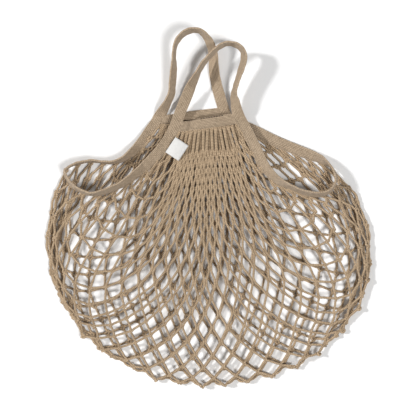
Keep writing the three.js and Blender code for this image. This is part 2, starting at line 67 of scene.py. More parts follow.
# The tape's route, as in the solid model. Bindings: reach out from the header's end, drop from the
# front header, lift of the lower edge, bearing and dip of the way to the net edge in degrees.
LEFT_BINDING = (
    (0.002, 0.017, 0.43, -22, 0),
    (0.034, 0.051, 0.45, -27, 2),
    (0.089, 0.095, 0.54, -35, 8),
    (0.168, 0.141, 0.63, -42, 20),
    (0.252, 0.182, 0.7, -48, 35),
    (0.336, 0.216, 0.77, -53, 50),
    (0.427, 0.244, 0.82, -62, 62),
    (0.534, 0.267, 0.85, -78, 66),
    (0.641, 0.274, 0.8, -92, 74),
    (0.74, 0.254, 0.65, -115, 74),
    (0.809, 0.224, 0.47, -135, 74),
    (0.84, 0.19, 0.32, -170, 78),
    (0.794, 0.17, 0.2, -170, 88),
    (0.718, 0.156, 0.1, -90, 84),
    (0.638, 0.151, 0.06, -90, 80),
    (0.565, 0.153, 0.05, -92, 84),
    (0.492, 0.155, 0.04, -95, 82),
    (0.416, 0.148, 0.02, -80, 72),
    (0.344, 0.123, 0.01, -60, 48),
    (0.267, 0.085, 0, -48, 25),
    (0.191, 0.032, 0, -38, 10),
    (0.15, 0.003, 0, -33, 0),
)

# Handles: across from the header's middle and rise above the front header, then as above
BACK_HANDLE = (
    (-1.54, 0.041, 0, -32, 0),
    (-1.38, 0.131, 0.02, -30, 38),
    (-1.25, 0.206, 0.08, -25, 55),
    (-1.144, 0.289, 0.18, -12, 60),
    (-1.1, 0.389, 0.3, -5, 58),
    (-1.072, 0.5, 0.45, -3, 56),
    (-1.063, 0.611, 0.6, -2, 66),
    (-1.041, 0.722, 0.75, -5, 80),
    (-0.991, 0.817, 0.88, -15, 76),
    (-0.875, 0.889, 0.95, -35, 70),
    (-0.688, 0.941, 1, -60, 68),
    (-0.453, 0.971, 1, -82, 74),
    (-0.234, 0.962, 0.92, -110, 76),
    (-0.047, 0.9, 0.7, -140, 64),
    (0.088, 0.817, 0.45, -155, 54),
    (0.166, 0.722, 0.22, -168, 42),
    (0.175, 0.622, 0.12, -178, 30),
    (0.213, 0.5, 0.07, -174, 25),
    (0.281, 0.378, 0.04, -166, 20),
    (0.381, 0.261, 0.01, -163, 12),
    (0.447, 0.183, 0, -161, 3),
)

# The right binding, from the back header to the front one
RIGHT_BINDING = (
    (-0.12, -0.037, 0, -158, 0),
    (-0.099, -0.014, 0, -148, 0),
    (-0.056, 0.001, 0, -136, 0),
    (0.023, 0.017, 0, -118, 4),
    (0.122, 0.039, 0.02, -114, 8),
    (0.229, 0.066, 0.05, -114, 10),
    (0.336, 0.09, 0.08, -112, 12),
    (0.443, 0.111, 0.1, -110, 18),
    (0.542, 0.13, 0.14, -108, 34),
    (0.622, 0.149, 0.2, -108, 58),
    (0.676, 0.169, 0.27, -110, 84),
    (0.712, 0.195, 0.36, 0, 78),
    (0.72, 0.226, 0.48, -5, 76),
    (0.691, 0.254, 0.6, -40, 74),
    (0.626, 0.273, 0.7, -70, 68),
    (0.542, 0.276, 0.76, -95, 68),
    (0.458, 0.266, 0.8, -105, 70),
    (0.374, 0.249, 0.8, -112, 68),
    (0.29, 0.226, 0.76, -124, 54),
    (0.225, 0.199, 0.7, -132, 42),
    (0.174, 0.165, 0.64, -142, 28),
    (0.134, 0.122, 0.58, -152, 20),
    (0.095, 0.083, 0.53, -154, 10),
    (0.053, 0.041, 0.48, -153, 4),
    (0.019, 0.011, 0.45, -152, 0),
)

FRONT_HANDLE = (
    (0.97, 0.041, 0.43, -153, 0),
    (0.884, 0.128, 0.43, -165, 22),
    (0.844, 0.2, 0.45, -172, 42),
    (0.806, 0.272, 0.5, 180, 62),
    (0.838, 0.357, 0.58, 172, 70),
    (0.944, 0.484, 0.68, 163, 64),
    (1.041, 0.567, 0.76, 162, 58),
    (1.103, 0.65, 0.84, 172, 60),
    (1.078, 0.736, 0.92, -162, 70),
    (0.906, 0.8, 0.98, -120, 76),
    (0.625, 0.822, 1, -89, 76),
    (0.359, 0.789, 0.98, -62, 74),
    (0.125, 0.722, 0.92, -48, 73),
    (-0.109, 0.628, 0.8, -38, 73),
    (-0.3, 0.522, 0.7, -30, 70),
    (-0.438, 0.433, 0.62, -27, 48),
    (-0.563, 0.344, 0.56, -25, 28),
    (-0.703, 0.228, 0.5, -24, 14),
    (-0.844, 0.106, 0.45, -23, 4),
)

# The bottom fold: across, drop, and the share of the chains left of it
FOLD = (
    (-0.939, 0.222, 0.012),
    (-0.982, 0.289, 0.028),
    (-1, 0.372, 0.042),
    (-0.994, 0.47, 0.064),
    (-0.939, 0.583, 0.102),
    (-0.847, 0.703, 0.164),
    (-0.712, 0.816, 0.244),
    (-0.528, 0.91, 0.315),
    (-0.307, 0.974, 0.388),
    (-0.11, 0.996, 0.451),
    (0.025, 1, 0.498),
    (0.196, 0.989, 0.557),
    (0.368, 0.966, 0.611),
    (0.552, 0.921, 0.665),
    (0.699, 0.846, 0.725),
    (0.828, 0.756, 0.79),
    (0.914, 0.665, 0.844),
    (0.969, 0.56, 0.892),
    (1, 0.462, 0.927),
    (0.988, 0.365, 0.944),
    (0.933, 0.274, 0.969),
    (0.853, 0.218, 0.988),
)

# The rows of the bindings' tables where the mouths end, and the back layer's edges begin
LEFT_END_ROW = 11
RIGHT_END_ROW = 11

# How far down a layer each row of joins lies, from the header at 0 to the fold at 1
ROW_SHARES = (
    0, 0.108, 0.167, 0.226, 0.285, 0.344, 0.403, 0.461, 0.52, 0.579,
    0.638, 0.697, 0.751, 0.805, 0.861, 0.915, 0.969,
)

# The rows crowd to the fold over this share of the width at each side
CROWDED_SHARE = 0.36

# One in so many gathered pairs lies behind the others at the front header
RIB_GROUP = 3

# Points from one row of the tape's route to the next
ROUTE_DETAIL = 40

# In cord thicknesses: how far the net reaches into a tape and in from a header's corner, out past the
# fold, the lowest that front and back cords lie, the highest that back ones start, the hidden ribs' depth
GRIP = 0.4
CORNER_GRIP = 0.6
FOLD_REACH = 2.3
FRONT_LOW = 1.5
BACK_LOW = 0.5
BACK_START = 0.6
RIB_DEPTH = 0.9

# Off the middle of a join, in cord thicknesses, and how much of that paired ribs keep
SIDE_STEP = 0.46
RIB_STEP = 0.36

# Where along its binding the back layer is drawn to a mouth, and over how much of it
LEFT_GATHER = (0.3, 0.17)
RIGHT_GATHER = (0.45, 0.35)
RIGHT_GATHER_SHARE = 0.5

# Shares of the chains, next to a tape, that it keeps from shifting and from crowding, or crumples
SHIFT_HELD = 0.04
CROWD_HELD = 0.045
TAPE_CRUMPLED = 0.06

# The sides stand upright from this Y on, up to a little past the mouth's end. Each comes with its fade
UPRIGHT = (-0.1, 0.022)
PAST_MOUTH = (0.004, 0.006)

# Bars lie crumpled beyond this share of the half width, and above this Y, each with its fade
CRUMPLED_OUT = (0.76, 0.12)
CRUMPLED_UP = (-0.12, 0.03)

# Settling: how firmly joins and fold keep their places, and how far the fold's hold spreads to the sides
JOIN_HOLD = 0.02
FOLD_HOLD = 0.08
FOLD_SPREAD = 0.7

# How stiff the chains are at joins and between them, and how softly a short bar is pushed out
JOIN_STIFF = 0.05
BAR_STIFF = 0.24
PUSH = 0.4

# Slack of the gathered ribs, and how far a slack bar may bow out
RIB_SLACK = 1.04
BOW = 0.6

# The net comes in so many meshes, and a chain's loops make it thinner and thicker by turns
NET_PIECES = 4
THIN_LOOP = 0.88
THICK_LOOP = 1.1

# Lengths of the tape's wrinkles, how far they slant, and how their depth falls with their length
WRINKLE_WAVES = (0.055, 0.031, 0.017, 0.009)
WRINKLE_SLANT = 1.2
WRINKLE_FALL = 0.4

# Corners of a tape's section, and the powers that round its edges and flatten its faces
BAND_CORNERS = 24
EDGE_POWER = 0.45
FACE_POWER = 0.5

# Sections of a header, how far it is tucked under the tapes, and its dent's place and width
HEADER_STEPS = 60
HEADER_TUCK = 0.0006
DENT = (0.2, 0.1)

# A sewn stitch: share of its length, size and depth at each ring, and the ring's corners
STITCH_RINGS = ((0.0, 0.35, -0.6), (0.25, 1.0, 0.0), (0.75, 1.0, 0.0), (1.0, 0.35, -0.6))
STITCH_CORNERS = 6

# The label: points a side, how far it starts under the tape, and its swell, arch and droop
LABEL_STEPS = 14
LABEL_TUCK = 0.001
LABEL_CURL = (0.0012, 0.0008, 0.0006)

# Seeds of the tapes' wrinkles
TAPE_SEED = 11
HEADER_SEED = 23


# Settings


class BagShape(bpy.types.PropertyGroup):
    """The spread of the bag as it lies."""

    net_width: FloatProperty(
        name="Net width", description="Across the widest points", default=0.398, unit="LENGTH"
    )
    net_drop: FloatProperty(
        name="Net drop", description="Front header to bottom fold", default=0.324, unit="LENGTH"
    )
    handle_rise: FloatProperty(
        name="Handle rise", description="Front header to the top", default=0.11, unit="LENGTH"
    )
    header_span: FloatProperty(
        name="Header span", description="Length of a header", default=0.078, unit="LENGTH"
    )
    loft: FloatProperty(name="Loft", description="How high the tape stands", default=0.02, unit="LENGTH")
    puff: FloatProperty(name="Puff", description="Rise of the front layer", default=0.006, unit="LENGTH")
    fold_thick: FloatProperty(
        name="Fold thickness", description="Height of the fold", default=0.008, unit="LENGTH"
    )
    border_pull: FloatProperty(
        name="Border pull", description="Share of the width that follows a tape", default=0.35
    )


class NetSettings(bpy.types.PropertyGroup):
    """The fine net."""

    chains: IntProperty(name="Chains", description="Knitted cords side by side", default=44)
    bars: IntProperty(name="Bars", description="Bars of a chain from header to header", default=35)
    bar: FloatProperty(name="Bar", description="Length from join to join", default=0.0195, unit="LENGTH")
    rib: FloatProperty(
        name="Rib", description="Length of the gathered bar at a header", default=0.0335, unit="LENGTH"
    )
    links: IntProperty(name="Links", description="Straight links that a bar bends at", default=5)
    join: FloatProperty(
        name="Join", description="Length over which two chains run together", default=0.0042, unit="LENGTH"
    )
    cord: FloatProperty(name="Cord", description="Thickness of a chain", default=0.0029, unit="LENGTH")
    stitch: FloatProperty(
        name="Stitch", description="Length of one knitted loop", default=0.0021, unit="LENGTH"
    )
    sides: IntProperty(name="Sides", description="Sides of a cord's section", default=7)
    edge_bunch: FloatProperty(
        name="Edge bunch", description="How far the side rows crowd to the fold", default=0.5
    )
    crowd: FloatProperty(
        name="Crowding", description="How far the net is pushed out to its sides", default=1.5
    )
    crowd_width: FloatProperty(
        name="Crowded width", description="How far in from a side it is pushed", default=0.095, unit="LENGTH"
    )
    back_shift: FloatVectorProperty(
        name="Back shift", description="How far the back layer lies off the front one", size=2,
        default=(0.0055, -0.004),
    )
    gather: FloatProperty(
        name="Gather", description="How far the back layer is drawn to the mouths", default=0.8
    )
    side_shift: FloatVectorProperty(
        name="Side shift", description="The same at its sides", size=2, default=(0.0, -0.009)
    )
    hang: FloatProperty(name="Hang", description="How late the inner chains spread", default=0.55)
    slack: FloatProperty(name="Slack", description="How much longer than its way a bar may lie", default=1.35)
    least: FloatProperty(
        name="Least bar", description="Share of a bar's length that never lies flat", default=0.42
    )
    jitter: FloatProperty(
        name="Jitter", description="How far joins lie off their places", default=0.0012, unit="LENGTH"
    )
    crumple: FloatProperty(
        name="Crumple", description="What is added to it at the sides and the tapes", default=0.34
    )
    passes: IntProperty(name="Passes", description="Rounds of settling", default=420)
    seed: IntProperty(name="Seed", description="Seed of the slack bars' bows", default=5)


class ClothSettings(bpy.types.PropertyGroup):
    """The woven tape, its stitches and the label."""

    tape_width: FloatProperty(
        name="Tape width", description="Width of the tape", default=0.0136, unit="LENGTH"
    )
    tape_thick: FloatProperty(
        name="Tape thickness", description="Thickness of the tape", default=0.0026, unit="LENGTH"
    )
    station: FloatProperty(name="Station", description="Step between sections", default=0.0016, unit="LENGTH")
    wrinkle: FloatProperty(
        name="Wrinkle", description="Depth of the tape's wrinkles", default=0.00028, unit="LENGTH"
    )
    stitch: FloatProperty(name="Stitch", description="Length of a sewn stitch", default=0.0023, unit="LENGTH")
    stitch_gap: FloatProperty(
        name="Stitch gap", description="Room between stitches", default=0.0009, unit="LENGTH"
    )
    thread: FloatProperty(
        name="Thread", description="Thickness of the sewing thread", default=0.0005, unit="LENGTH"
    )
    # Thickness of the near-black stitches that paint the shadow line at the front header's top
    painted_shadow_thread: FloatProperty(
        name="Painted shadow thread", description="Thickness at the header's top", default=0.0011, unit="LENGTH"
    )
    seam_in: FloatProperty(
        name="Seam inset", description="Stitches in from the edge", default=0.0021, unit="LENGTH"
    )
    dent: FloatProperty(
        name="Dent", description="Depth of the dent in the front header", default=0.0022, unit="LENGTH"
    )
    label_long: FloatProperty(name="Label length", description="Along the tape", default=0.022, unit="LENGTH")
    label_short: FloatProperty(
        name="Label width", description="Out from the tape", default=0.019, unit="LENGTH"
    )
    label_thick: FloatProperty(
        name="Label thickness", description="Folded cloth", default=0.0007, unit="LENGTH"
    )
    label_from: FloatProperty(
        name="Label place", description="Along the tape from the header", default=0.0235, unit="LENGTH"
    )


class BagColours(bpy.types.PropertyGroup):
    """Dark and light tones of the cloths."""

    tape_dark: FloatVectorProperty(
        name="Tape, dark", description="Between the tape's threads", subtype="COLOR",
        default=(0.16, 0.11, 0.066),
    )
    tape_light: FloatVectorProperty(
        name="Tape, light", description="On the tape's threads", subtype="COLOR",
        default=(0.57, 0.44, 0.31),
    )
    cord_dark: FloatVectorProperty(
        name="Cord, dark", description="Between the cord's loops", subtype="COLOR",
        default=(0.15, 0.094, 0.048),
    )
    cord_light: FloatVectorProperty(
        name="Cord, light", description="On the cord's loops", subtype="COLOR",
        default=(0.58, 0.43, 0.28),
    )
    # Tones of the near-black thread: painted shadow, the dark line in the gap between the two headers
    thread_dark: FloatVectorProperty(
        name="Painted shadow thread, dark", description="Darkest tone of that thread", subtype="COLOR",
        default=(0.03, 0.02, 0.012),
    )
    thread_light: FloatVectorProperty(
        name="Painted shadow thread, light", description="Lightest tone of that thread", subtype="COLOR",
        default=(0.06, 0.04, 0.025),
    )
    label_dark: FloatVectorProperty(
        name="Label, dark", description="Between the label's threads", subtype="COLOR",
        default=(0.64, 0.63, 0.61),
    )
    label_light: FloatVectorProperty(
        name="Label, light", description="On the label's threads", subtype="COLOR",
        default=(0.78, 0.77, 0.75),
    )


class StageSettings(bpy.types.PropertyGroup):
    """Floor, lights and camera."""

    floor: FloatProperty(name="Floor", description="Side of the floor", default=6.0, unit="LENGTH")
    floor_colour: FloatVectorProperty(
        name="Floor colour", description="Of the plain floor", subtype="COLOR", default=(0.92, 0.92, 0.92)
    )
    camera_height: FloatProperty(
        name="Camera height", description="Above the floor", default=1.25, unit="LENGTH"
    )
    view_width: FloatProperty(
        name="View width", description="Floor seen across the picture", default=0.5075, unit="LENGTH"
    )
    view_y: FloatProperty(
        name="View centre", description="The picture's middle along Y", default=0.0012, unit="LENGTH"
    )
    key: FloatProperty(name="Key", description="Strength of the key light", default=2.5)
    key_angle: FloatProperty(
        name="Key softness", description="Angular size", default=math.radians(7), subtype="ANGLE"
    )
    key_height: FloatProperty(
        name="Key height", description="Above the floor", default=math.radians(36), subtype="ANGLE"
    )
    sky: FloatProperty(name="Sky", description="Strength of the even light", default=0.28)
    fill: FloatProperty(name="Fill", description="Strength of the soft light", default=1.75)
    fill_angle: FloatProperty(
        name="Fill softness", description="Angular size", default=math.radians(16), subtype="ANGLE"
    )
    fill_height: FloatProperty(
        name="Fill height", description="Above the floor", default=math.radians(58), subtype="ANGLE"
    )
    fill_way: FloatVectorProperty(
        name="Fill shadow way", description="Where its shadows fall", size=2, default=(-0.8, 0.6)
    )
    shadow_way: FloatVectorProperty(
        name="Shadow way", description="Where the shadows fall", size=2, default=(0.97, -0.24)
    )


# Curves


def span(away):
    """Centripetal spacing of neighbouring points, from the way between them."""
    return np.maximum((away**2).sum(1)[:, None], 1e-18) ** 0.25


def curve_points(points, share, closed):
    """Points of a centripetal Catmull-Rom curve at shares of its length in knots."""
    knots = np.asarray(points, float)
    count = len(knots)
    at = (count if closed else count - 1) * np.asarray(share, float)
    k = np.minimum(np.floor(at).astype(int), count - 1 if closed else count - 2)
    if closed:
        p0, p1, p2, p3 = (knots[(k + n) % count] for n in (-1, 0, 1, 2))
    else:
        longer = np.vstack([2 * knots[0] - knots[1], knots, 2 * knots[-1] - knots[-2]])
        p0, p1, p2, p3 = (longer[k + n] for n in range(4))
    d0, d1, d2 = span(p1 - p0), span(p2 - p1), span(p3 - p2)
    m1 = ((p1 - p0) / d0 - (p2 - p0) / (d0 + d1) + (p2 - p1) / d1) * d1
    m2 = ((p2 - p1) / d1 - (p3 - p1) / (d1 + d2) + (p3 - p2) / d2) * d1
    w = (at - k)[:, None]
    bend = -3 * p1 + 3 * p2 - 2 * m1 - m2
    return p1 + m1 * w + bend * w**2 + (2 * p1 - 2 * p2 + m1 + m2) * w**3


def unit(vectors):
    """Vectors scaled to length 1, along the last axis."""
    return vectors / np.maximum(np.linalg.norm(vectors, axis=-1, keepdims=True), 1e-9)


def bell(value, middle, width):
    """1 at the middle, and near 0 beyond twice the width."""
    return np.exp(-(((value - middle) / width) ** 2))


def rising(value, start, fade):
    """0 well below the start and 1 well above it."""
    return 1 / (1 + np.exp(-(value - start) / fade))


def between(first, last, share):
    """The way from first to last, at a share of it."""
    return first + (last - first) * share


def from_side(across):
    """How far chains are from the nearer tape."""
    return np.minimum(across, 1 - across)


def way_along(points):
    """Distance of each point along a line of them."""
    return np.concatenate([[0], np.cumsum(np.linalg.norm(np.diff(points, axis=0), axis=1))])


def header_y(shape):
    """Y of the front header: the part's own frame has its origin under the middle of the bag."""
    return (shape.net_drop - shape.handle_rise) / 2


class TapeRoute:
    """The whole tape as one closed route: left binding, back handle, right binding, front handle."""

    def __init__(self, shape, cloth):
        self.half = cloth.tape_width / 2
        side_reach = (shape.net_width - shape.header_span) / 2
        half_span = shape.header_span / 2
        middles, sides, starts = [], [], []
        for table, hand in ((LEFT_BINDING, -1), (BACK_HANDLE, 0), (RIGHT_BINDING, 1), (FRONT_HANDLE, 0)):
            starts.append(len(middles))
            for out, down, lift, bearing, dip in table:
                g, d = math.radians(bearing), math.radians(dip)
                if hand:
                    x, y = hand * (half_span + out * side_reach), -down * shape.net_drop
                else:
                    x, y = out * half_span, down * shape.handle_rise
                z = lift * shape.loft + self.half * math.sin(d) + cloth.tape_thick / 2 * math.cos(d)
                middles.append((x, y + header_y(shape), z))
                sides.append((math.cos(d) * math.cos(g), math.cos(d) * math.sin(g), -math.sin(d)))
        share = np.arange(len(middles) * ROUTE_DETAIL + 1) / (len(middles) * ROUTE_DETAIL)
        self.middle = curve_points(middles, share, True)
        self.side = curve_points(sides, share, True)
        self.arcs = way_along(self.middle)
        self.length = self.arcs[-1]
        self.front_left = 0.0
        self.back_left, self.back_right, self.front_right = (self.arcs[n * ROUTE_DETAIL] for n in starts[1:])
        self.left_end = self.arcs[LEFT_END_ROW * ROUTE_DETAIL]
        self.right_end = self.arcs[(starts[2] + RIGHT_END_ROW) * ROUTE_DETAIL]

    def sample(self, arcs, line):
        """A line of the route at distances along it."""
        around = np.mod(arcs, self.length)
        return np.stack([np.interp(around, self.arcs, line[:, axis]) for axis in range(3)], 1)

    def at(self, arcs):
        """Middle, way to the net edge and outer face of the tape at distances along it."""
        arcs, near = np.asarray(arcs, float), 0.0005
        along = unit(self.sample(arcs + near, self.middle) - self.sample(arcs - near, self.middle))
        side = self.sample(arcs, self.side)
        side = unit(side - along * (side * along).sum(1)[:, None])
        return self.sample(arcs, self.middle), side, np.cross(along, side)

    def beside(self, arcs, gap):
        """The line at a gap from the tape's net edge."""
        middle, side, _ = self.at(arcs)
        return middle + side * (self.half + gap)


class NetSheet:
    """The sheet that the net is laid out on, from the front header round the fold to the back one."""

    def __init__(self, shape, net, route):
        self.shape, self.net, self.route = shape, net, route
        # the tape and the headers grip the cords
        self.grip = -GRIP * net.cord
        clear = route.half - CORNER_GRIP * net.cord
        front_left, back_left = route.front_left + clear, route.back_left - clear
        front_right, back_right = route.front_right - clear, route.back_right + clear
        self.ways = {
            "left": (front_left, route.left_end, back_left),
            "right": (front_right, route.right_end, back_right),
        }
        reach, drop = shape.net_width / 2 + FOLD_REACH * net.cord, shape.net_drop - net.cord
        rows = [(a * reach, header_y(shape) - d * drop, shape.fold_thick / 2) for a, d, _ in FOLD]
        ends = [self.border(hand, [1.0], 0)[0] for hand in ("left", "right")]
        self.fold_rows = np.array([ends[0], *rows, ends[1]])
        self.fold_chains = np.array([0, *(chain for _, _, chain in FOLD), 1])

    def border(self, hand, along, layer):
        """Points where a side of a layer is bound, from 0 at its header to 1 at the mouth's end."""
        front, end, back = self.ways[hand]
        start = back if layer else front
        return self.route.beside(between(start, end, np.asarray(along, float)), self.grip)

    def fold(self, across):
        """Points of the bottom fold."""
        share = np.interp(across, self.fold_chains, np.linspace(0, 1, len(self.fold_chains)))
        return curve_points(self.fold_rows, share, False)

    def layer(self, across, along, down, layer):
        """Points of one layer. across runs over the chains, along over the bindings, down to the fold."""
        if layer:
            across = self.gathered(across, along)
        straight, bend, heads, ends = {}, {}, {}, {}
        for hand in ("left", "right"):
            heads[hand], ends[hand] = self.border(hand, [0.0, 1.0], layer)
            straight[hand] = between(heads[hand], ends[hand], along[:, None])
            bend[hand] = self.border(hand, along, layer) - straight[hand]
        share = across[:, None]
        fold_ends = between(ends["left"], ends["right"], share)
        to_fold = self.fold(across) - fold_ends
        points = between(straight["left"], straight["right"], share) + to_fold * down[:, None]
        # away from the tapes the chains hang straight first and spread later
        late = 1 + self.net.hang * np.sin(np.pi * across)
        head = between(heads["left"][0], heads["right"][0], across)
        points[:, 0] = between(head, fold_ends[:, 0], along**late) + to_fold[:, 0] * down**late
        points += bend["left"] * bell(share, 0, self.shape.border_pull)
        points += bend["right"] * bell(1 - share, 0, self.shape.border_pull)
        if layer:
            points[:, 2] = np.minimum(points[:, 2], BACK_START * self.net.cord)
        else:
            points[:, 2] += self.shape.puff * np.sin(np.pi * across) * np.sin(np.pi * down)
        return points

    def gathered(self, across, along):
        """Draws the back layer's chains to the tapes, where the mouths show it bunched."""
        left = bell(along, *LEFT_GATHER)
        right = RIGHT_GATHER_SHARE * bell(along, *RIGHT_GATHER)
        gather = 1 + self.net.gather * np.where(across < 0.5, left, right)
        drawn = 0.5 * (2 * from_side(across)) ** gather
        return np.where(across < 0.5, drawn, 1 - drawn)

    def row(self, number, across):
        """Points of one row of joins, counted from the front header.

        Between the middle and the tapes, where the net is spread wide, the rows crowd to the fold.
        """
        half = self.net.bars / 2
        layer = int(number > half)
        count = self.net.bars - number if layer else number
        shares = [*ROW_SHARES, 1.0]
        places = [*range(len(ROW_SHARES)), half]
        side = np.minimum(1, from_side(across) / CROWDED_SHARE)
        power = 1 + self.net.edge_bunch * np.sin(np.pi * side) ** 2
        along = 1 - (1 - count / half) ** power
        down = 1 - (1 - np.interp(count, places, shares)) ** power
        points = self.layer(across, along, down, layer)
        self.crowd(points, across)
        if layer:
            # the back layer's meshes lie between the front one's
            inner = np.sin(np.pi * across)[:, None]
            loose = np.sin(np.pi * down) * (1 - bell(from_side(across), 0, SHIFT_HELD))
            shift = np.array(self.net.back_shift) * inner + np.array(self.net.side_shift) * (1 - inner)
            points[:, :2] += shift * loose[:, None]
        return points

    def crowd(self, points, across):
        """Pushes points out towards the upright sides of the outline, where the net lies bunched."""
        width, power = self.net.crowd_width, 1 + self.net.crowd
        low = self.fold_rows[:, 1].argmin()
        for hand, rows in ((-1, self.fold_rows[: low + 1]), (1, self.fold_rows[low:][::-1])):
            outline = np.interp(-points[:, 1], -rows[:, 1], hand * rows[:, 0])
            depth = np.clip(outline - hand * points[:, 0], 0, width)
            push = depth - width * (depth / width) ** power
            inner = across if hand < 0 else 1 - across
            loose = 1 - bell(inner, 0, CROWD_HELD)
            upright = rising(points[:, 1], *UPRIGHT)
            past, fade = PAST_MOUTH
            below = rising(-points[:, 1], -rows[0, 1] - past, fade)
            points[:, 0] += hand * push * loose * upright * below


# The net


def joined_across(net, row):
    """Where each chain is across the sheet in a row. Chains join in pairs, other ones in every row."""
    chain = np.arange(net.chains)
    if row == 0:
        # at the front header two pairs of three lie on top, evenly spaced, and the third behind them
        group, place = np.divmod(chain // 2, RIB_GROUP)
        shown = net.chains // 2 - net.chains // 2 // RIB_GROUP
        step = np.where(place < RIB_GROUP - 1, place + 0.5, place)
        return np.clip((group * (RIB_GROUP - 1) + step) / shown, 0, 1)
    if row % 2 or row == net.bars:
        pair = chain // 2 * 2 + 1
    else:
        pair = (chain + 1) // 2 * 2
    return pair / net.chains


def laid_out(net, sheet):
    """The chains as laid on the sheet, the length of every link, and which points are held or free."""
    links = net.links
    rng = np.random.default_rng(net.seed)
    rows = np.stack([sheet.row(n, joined_across(net, n)) for n in range(net.bars + 1)], 1)
    shaken = rng.normal(0, net.jitter, (net.chains // 2 - 1, net.bars - 3, 2))
    rows[1:-1, 2:-2, :2] += np.repeat(shaken, 2, axis=0)
    way = np.diff(rows, axis=1)
    apart = np.linalg.norm(way, axis=2)
    # bars lie crumpled at the upright sides and along the tapes
    across = np.stack([joined_across(net, n) for n in range(net.bars)], 1)
    middle = rows[:, :-1] + way / 2
    out = np.abs(middle[..., 0]) / sheet.shape.net_width * 2
    at_side = 1
    for value, (start, fade) in ((out, CRUMPLED_OUT), (middle[..., 1], CRUMPLED_UP)):
        at_side = at_side * np.clip((value - start) / fade, 0, 1)
    at_tape = bell(from_side(across), 0, TAPE_CRUMPLED)
    least = net.least + net.crumple * np.maximum(at_side, at_tape)
    rest = np.clip(net.slack * apart, least * net.bar, net.bar)
    rest[:, [0, -1]] = np.minimum(net.rib, RIB_SLACK * apart[:, [0, -1]])
    fold_bar = net.bars // 2
    bow = np.sqrt(np.maximum(0, rest**2 - apart**2)) * rng.uniform(-BOW, BOW, apart.shape)
    rest[:, fold_bar], bow[:, fold_bar] = net.bar, 0
    beside = unit(np.stack([-way[..., 1], way[..., 0], np.zeros_like(apart)], 2))
    home = np.zeros((net.chains, net.bars * links + 1, 3))
    for link in range(links):
        share = link / links
        bowed = beside * (bow * math.sin(math.pi * share))[..., None]
        home[:, link:-1:links] = rows[:, :-1] + way * share + bowed
    home[:, -1] = rows[:, -1]
    hold = np.zeros(home.shape[:2])
    hold[:, ::links] = JOIN_HOLD
    # the bars that cross the fold are drawn over it
    near, far = joined_across(net, fold_bar), joined_across(net, fold_bar + 1)
    inner = np.sin(np.pi * (near + far) / 2) ** FOLD_SPREAD
    for link in range(1, links):
        share = link / links
        over = sheet.fold(between(near, far, share))
        spot = fold_bar * links + link
        pull = math.sin(math.pi * share)
        home[:, spot, :2] += (over - home[:, spot])[:, :2] * pull
        hold[:, spot] = FOLD_HOLD * pull * inner
    # the ends are sewn into the headers, and the outer chains into the tape at every other row
    free = np.ones(home.shape[:2])
    free[:, [0, -1]] = 0
    free[[0, -1], 2 * links : -1 : 2 * links] = 0
    return home, np.repeat(rest / links, links, axis=1), hold, free


def settled(net, home, rest, hold, free):
    """Lets every bar come to its own length while joined chains stay together."""
    links = net.links
    points = home.copy()
    at_join = np.zeros(points.shape[1], bool)
    at_join[::links] = True
    stiff = np.where(at_join[1:-1], JOIN_STIFF, BAR_STIFF)[None, :, None] * free[:, 1:-1, None]
    pull = (hold * free)[..., None]
    rows = np.arange(1, net.bars)
    joins = []
    for start in (0, 1):
        chains = np.arange(start, net.chains - 1, 2)
        columns = rows[rows % 2 != start] * links
        joins.append((np.ix_(chains, columns), np.ix_(chains + 1, columns)))
    for _ in range(net.passes):
        points[:, 1:-1] += ((points[:, :-2] + points[:, 2:]) / 2 - points[:, 1:-1]) * stiff
        points += (home - points) * pull
        for start in (0, 1, 0, 1):
            i = np.arange(start, rest.shape[1], 2)
            way = points[:, i + 1] - points[:, i]
            length = np.maximum(np.linalg.norm(way, axis=2), 1e-7)
            over = 1 - rest[:, i] / length
            over = np.where(over > 0, over, PUSH * over)
            near, far = free[:, i], free[:, i + 1]
            both = np.maximum(near + far, 1)
            points[:, i] += way * (over * near / both)[..., None]
            points[:, i + 1] -= way * (over * far / both)[..., None]
        for one, other in joins:
            middle = (points[one] + points[other]) / 2
            points[one] = middle
            points[other] = middle
    return points


def with_joins(net, points):
    """The chains' paths, with joined chains side by side for the length of a join."""
    links = net.links
    chain = np.arange(net.chains)
    ahead = np.zeros_like(points)
    ahead[:, 1:-1] = points[:, 2:] - points[:, :-2]
    ahead[:, 0], ahead[:, -1] = points[:, 1] - points[:, 0], points[:, -1] - points[:, -2]
    ahead = unit(ahead)
    pieces = []
    for row in range(net.bars + 1):
        spot = row * links
        first = chain // 2 * 2 if row % 2 or row in (0, net.bars) else (chain - 1) // 2 * 2 + 1
        mate = np.where(first == chain, chain + 1, chain - 1)
        alone = (mate < 0) | (mate >= net.chains)
        mate = np.clip(mate, 0, net.chains - 1)
        down = unit(ahead[:, spot] + ahead[mate, spot])
        across = unit(np.stack([-down[:, 1], down[:, 0], np.zeros(net.chains)], 1))
        # across points to the right of a chain on the front layer, where chains run down the page
        turn = np.where(first == chain, -1.0, 1.0) * np.where(alone, 0, 1)
        off = across * (turn * SIDE_STEP * net.cord)[:, None]
        for step in (-0.5, 0.5):
            if (row == 0 and step < 0) or (row == net.bars and step > 0):
                continue
            pieces.append((points[:, spot] + down * (step * net.join) + off)[:, None])
        if row < net.bars:
            # the gathered bars under the front header lie in pairs
            twin = RIB_STEP * off[:, None] if row == 0 else 0
            pieces.append(points[:, spot + 1 : spot + links] + twin)
    return np.concatenate(pieces, 1)


def resampled(paths, step):
    """Paths with points at even steps along smooth curves, the same number on each."""
    fine = [curve_points(path, np.linspace(0, 1, 4 * len(path)), False) for path in paths]
    lengths = [way_along(line) for line in fine]
    count = int(max(length[-1] for length in lengths) / step)
    even = []
    for line, length in zip(fine, lengths):
        at = np.linspace(0, length[-1], count)
        even.append(np.stack([np.interp(at, length, line[:, axis]) for axis in range(3)], 1))
    return np.stack(even)


# Meshes


